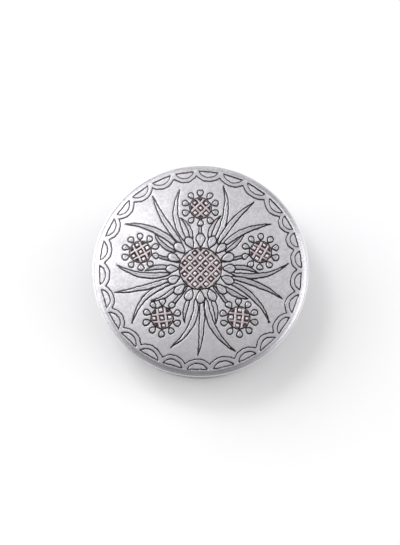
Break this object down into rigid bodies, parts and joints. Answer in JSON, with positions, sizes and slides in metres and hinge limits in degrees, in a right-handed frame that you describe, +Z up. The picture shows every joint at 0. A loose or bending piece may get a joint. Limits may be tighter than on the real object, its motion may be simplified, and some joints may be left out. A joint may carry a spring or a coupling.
{
  "type": "round pewter box with lid",
  "caption": "Low round pewter box with a straight soldered wall, a foot ring and a lift-off cast lid with a floral relief and a scalloped border.",
  "frame": {"origin": "centre of the foot ring's underside, on the surface that the box stands on", "axes": "+Z up through the middle of the lid, -Y towards the side that the picture shows nearest the viewer"},
  "size_m": [0.15, 0.15, 0.05],
  "materials": {
    "lid_pewter": "cast pewter, satin on the raised parts, matt and dark-patinated in the engraved lines",
    "cast_pewter": "satin cast pewter",
    "spun_pewter": "rolled pewter with fine turning lines",
    "solder": "dull soft solder"
  },
  "bodies": {
    "box": {"foot_ring": "cast_pewter", "base_plate": "spun_pewter", "body_wall": "spun_pewter", "mouth_bead": "cast_pewter", "base_solder_fillet": "solder"},
    "lid": {"lid_plate": "lid_pewter", "locating_ring": "spun_pewter", "lid_solder_fillet": "solder"}
  },
  "joints": [
    {"name": "lid_lift", "type": "slide", "parent": "box", "child": "lid", "axis": [0, 0, 1], "range_m": [0, 0.08]}
  ]
}
